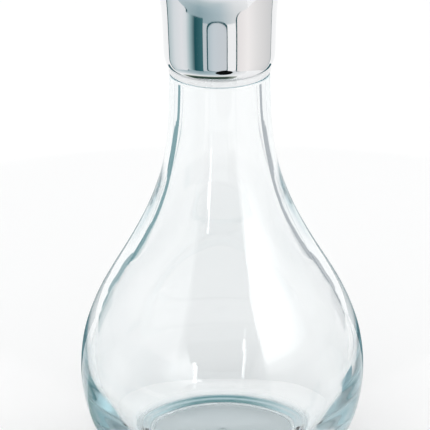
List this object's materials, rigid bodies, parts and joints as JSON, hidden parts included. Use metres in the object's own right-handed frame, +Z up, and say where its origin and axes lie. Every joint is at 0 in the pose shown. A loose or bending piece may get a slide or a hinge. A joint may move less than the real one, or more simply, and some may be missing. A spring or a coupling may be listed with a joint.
{
  "type": "wasp trap",
  "caption": "Droplet-shaped clear glass wasp trap with a lift-off polished steel cap whose flared mouth funnels insects through a narrow throat into the bottle.",
  "frame": {"origin": "centre of the ring that the bottle stands on, on the surface it stands on", "axes": "+Z up along the bottle's axis, towards the funnel mouth; the trap is round, so X and Y are free"},
  "size_m": [0.1076, 0.1076, 0.2089],
  "materials": {
    "clear_glass": "clear pressed glass, faint blue-green in its thick parts",
    "polished_steel": "mirror polished stainless steel",
    "plain_steel": "unpolished stainless steel",
    "grey_moulding": "moulded plastic",
    "clear_silicone": "translucent silicone",
    "black_silicone": "black silicone"
  },
  "bodies": {
    "bottle": {"glass_bottle": "clear_glass"},
    "cap": {"collar_shell": "polished_steel", "entry_funnel": "polished_steel", "collar_liner": "grey_moulding", "funnel_lock_ring": "plain_steel", "seat_gasket": "clear_silicone", "rim_gasket": "black_silicone", "neck_seal_lower": "black_silicone", "neck_seal_upper": "black_silicone"}
  },
  "joints": [
    {"name": "cap_lift", "type": "slide", "parent": "bottle", "child": "cap", "axis": [0, 0, 1], "range_m": [0, 0.03]}
  ]
}
